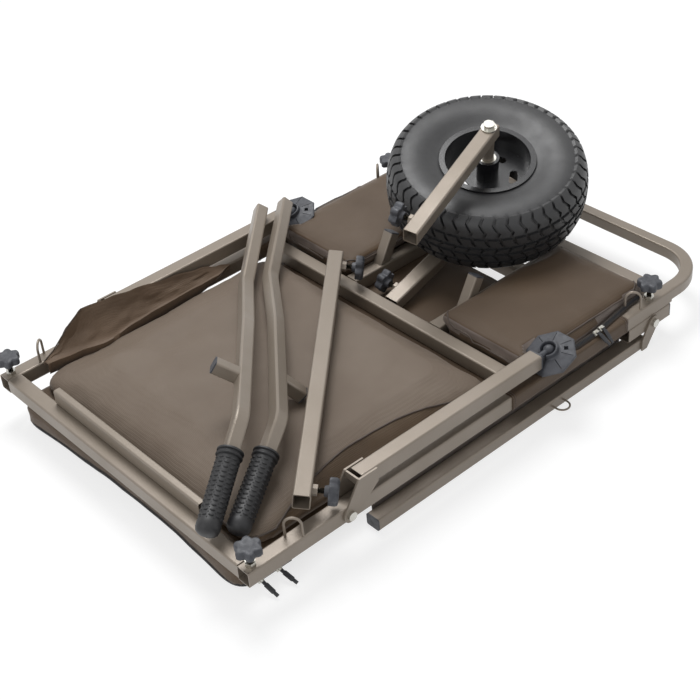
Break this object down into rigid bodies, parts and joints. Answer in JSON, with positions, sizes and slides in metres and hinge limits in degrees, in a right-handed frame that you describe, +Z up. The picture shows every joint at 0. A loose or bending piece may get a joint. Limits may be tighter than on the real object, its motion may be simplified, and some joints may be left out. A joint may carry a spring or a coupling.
{
  "type": "fishing tackle barrow",
  "caption": "Folding tackle barrow, packed flat upside down: square tube frame, fold-away legs with swivel feet, bags, loose handles and pneumatic wheel",
  "frame": {"origin": "on the ground under the middle of the side rails, on the flat underside of the folded bag", "axes": "+X towards the wheel bay and front loop, +Y away from the pictured near rail, +Z up"},
  "size_m": [0.998, 0.671, 0.3068],
  "materials": {
    "tube_paint": "fine satin powder coat, tan grey",
    "zinc": "bright zinc plate",
    "knob_plastic": "moulded, fine grain, blue grey",
    "grip_rubber": "soft ribbed rubber",
    "tyre_rubber": "moulded tyre rubber with a turf tread",
    "rim_paint": "gloss black",
    "light_cloth": "coated woven polyester, light side",
    "brown_cloth": "coated woven polyester, brown"
  },
  "bodies": {
    "frame": {"near_rail": "tube_paint", "far_rail": "tube_paint", "end_bar": "tube_paint", "end_lip": "tube_paint", "mid_bar": "tube_paint", "nose_bar": "tube_paint", "near_bay_tube": "tube_paint", "far_bay_tube": "tube_paint", "wheel_posts": "tube_paint", "hinge_blocks": "tube_paint", "lower_crossbar": "tube_paint", "tube_plugs": "knob_plastic", "clamp_nuts": "zinc", "tie_rings": "tube_paint", "base_bag": "brown_cloth", "main_bag": "light_cloth", "near_pocket": "brown_cloth", "far_pocket": "brown_cloth"},
    "front_loop": {"front_loop": "tube_paint"},
    "near_leg": {"near_leg": "tube_paint", "near_leg_bolt": "zinc", "near_foot_ball": "knob_plastic"},
    "near_foot": {"near_foot": "knob_plastic"},
    "far_leg": {"far_leg": "tube_paint", "far_leg_bolt": "zinc", "far_foot_ball": "knob_plastic"},
    "far_foot": {"far_foot": "knob_plastic"},
    "near_lower_arm": {"near_lower_arm": "tube_paint", "near_arm_bolt": "zinc", "near_arm_plug": "knob_plastic", "near_arm_ring": "tube_paint"},
    "far_lower_arm": {"far_lower_arm": "tube_paint", "far_arm_bolt": "zinc", "far_arm_plug": "knob_plastic"},
    "left_handle": {"left_handle": "tube_paint", "left_grip": "grip_rubber", "left_plug": "knob_plastic"},
    "right_handle": {"right_handle": "tube_paint", "right_grip": "grip_rubber", "right_plug": "knob_plastic"},
    "cross_tube": {"cross_tube": "tube_paint"},
    "axle": {"axle_bolt": "zinc", "axle_spacers": "tube_paint", "axle_nut": "zinc"},
    "wheel": {"tyre": "tyre_rubber", "rim": "rim_paint", "wheel_bearings": "zinc"},
    "upper_arm": {"upper_arm": "tube_paint"},
    "lower_fork_arm": {"lower_fork_arm": "tube_paint"},
    "near_rear_knob": {"near_rear_knob": "knob_plastic"},
    "far_rear_knob": {"far_rear_knob": "knob_plastic"},
    "near_front_knob": {"near_front_knob": "knob_plastic"},
    "far_front_knob": {"far_front_knob": "knob_plastic"},
    "cross_low_knob": {"cross_low_knob": "knob_plastic"},
    "cross_high_knob": {"cross_high_knob": "knob_plastic"},
    "upper_arm_knob": {"upper_arm_knob": "knob_plastic"},
    "lower_arm_knob": {"lower_arm_knob": "knob_plastic"}
  },
  "joints": [
    {"name": "loop_slide", "type": "slide", "parent": "frame", "child": "front_loop", "axis": [1, 0, 0], "range_m": [-0.025, 0.11]},
    {"name": "near_leg_swing", "type": "hinge", "parent": "frame", "child": "near_leg", "pos_m": [-0.26, -0.2975, 0.0675], "axis": [0, -1, 0], "range_deg": [0, 90]},
    {"name": "near_foot_tilt", "type": "hinge", "parent": "near_leg", "child": "near_foot", "pos_m": [0.155, -0.2975, 0.108], "axis": [0, 1, 0], "range_deg": [0, 8]},
    {"name": "near_arm_swing", "type": "hinge", "parent": "frame", "child": "near_lower_arm", "pos_m": [0.388, -0.2975, 0.0425], "axis": [0, -1, 0], "range_deg": [0, 90]},
    {"name": "near_rear_knob_turn", "type": "hinge", "parent": "frame", "child": "near_rear_knob", "pos_m": [-0.421, -0.2975, 0.08], "axis": [0, 0, 1], "continuous": true},
    {"name": "near_front_knob_turn", "type": "hinge", "parent": "frame", "child": "near_front_knob", "pos_m": [0.391, -0.2975, 0.08], "axis": [0, 0, 1], "continuous": true},
    {"name": "far_leg_swing", "type": "hinge", "parent": "frame", "child": "far_leg", "pos_m": [-0.26, 0.2975, 0.0675], "axis": [0, -1, 0], "range_deg": [0, 90]},
    {"name": "far_foot_tilt", "type": "hinge", "parent": "far_leg", "child": "far_foot", "pos_m": [0.155, 0.2975, 0.108], "axis": [0, 1, 0], "range_deg": [0, 8]},
    {"name": "far_arm_swing", "type": "hinge", "parent": "frame", "child": "far_lower_arm", "pos_m": [0.388, 0.2975, 0.0425], "axis": [0, -1, 0], "range_deg": [0, 90]},
    {"name": "far_rear_knob_turn", "type": "hinge", "parent": "frame", "child": "far_rear_knob", "pos_m": [-0.421, 0.2975, 0.08], "axis": [0, 0, 1], "continuous": true},
    {"name": "far_front_knob_turn", "type": "hinge", "parent": "frame", "child": "far_front_knob", "pos_m": [0.391, 0.2975, 0.08], "axis": [0, 0, 1], "continuous": true},
    {"name": "left_handle_lift", "type": "slide", "parent": "frame", "child": "left_handle", "axis": [-0.1207, 0.1207, 0.9853], "range_m": [0, 0.9]},
    {"name": "right_handle_lift", "type": "slide", "parent": "frame", "child": "right_handle", "axis": [-0.1207, 0.1207, 0.9853], "range_m": [0, 0.9]},
    {"name": "cross_tube_lift", "type": "slide", "parent": "frame", "child": "cross_tube", "axis": [0.0599, -0.3395, 0.9387], "range_m": [0, 0.9]},
    {"name": "cross_low_knob_turn", "type": "hinge", "parent": "cross_tube", "child": "cross_low_knob", "pos_m": [-0.2942, -0.27844, 0.11466], "axis": [0.6879, -0.7123, -0.1392], "continuous": true},
    {"name": "cross_high_knob_turn", "type": "hinge", "parent": "cross_tube", "child": "cross_high_knob", "pos_m": [0.09281, 0.09528, 0.11466], "axis": [0.6879, -0.7123, -0.1392], "continuous": true},
    {"name": "wheel_set_lift", "type": "slide", "parent": "frame", "child": "axle", "axis": [0, 0, 1], "range_m": [0, 0.15]},
    {"name": "wheel_spin", "type": "hinge", "parent": "axle", "child": "wheel", "pos_m": [0.3621, 0.0253, 0.1851], "axis": [-0.1366, -0.1908, 0.9721], "continuous": true},
    {"name": "upper_arm_swing", "type": "hinge", "parent": "axle", "child": "upper_arm", "pos_m": [0.3483, 0.00603, 0.28328], "axis": [-0.1366, -0.1908, 0.9721], "continuous": true},
    {"name": "lower_fork_arm_swing", "type": "hinge", "parent": "axle", "child": "lower_fork_arm", "pos_m": [0.37248, 0.0398, 0.11122], "axis": [-0.1366, -0.1908, 0.9721], "range_deg": [-4, 0]},
    {"name": "upper_arm_knob_turn", "type": "hinge", "parent": "upper_arm", "child": "upper_arm_knob", "pos_m": [0.1292, -0.04387, 0.24269], "axis": [-0.2985, 0.9436, 0.1433], "continuous": true},
    {"name": "lower_arm_knob_turn", "type": "hinge", "parent": "lower_fork_arm", "child": "lower_arm_knob", "pos_m": [0.14748, 0.02275, 0.07625], "axis": [-0.1556, 0.9732, 0.1692], "continuous": true}
  ],
  "couplings": [
    {"joint": "left_handle_lift", "follows": "far_leg_swing", "m_per_rad": 0.55},
    {"joint": "right_handle_lift", "follows": "far_leg_swing", "m_per_rad": 0.55},
    {"joint": "cross_tube_lift", "follows": "near_leg_swing", "m_per_rad": 0.55}
  ]
}
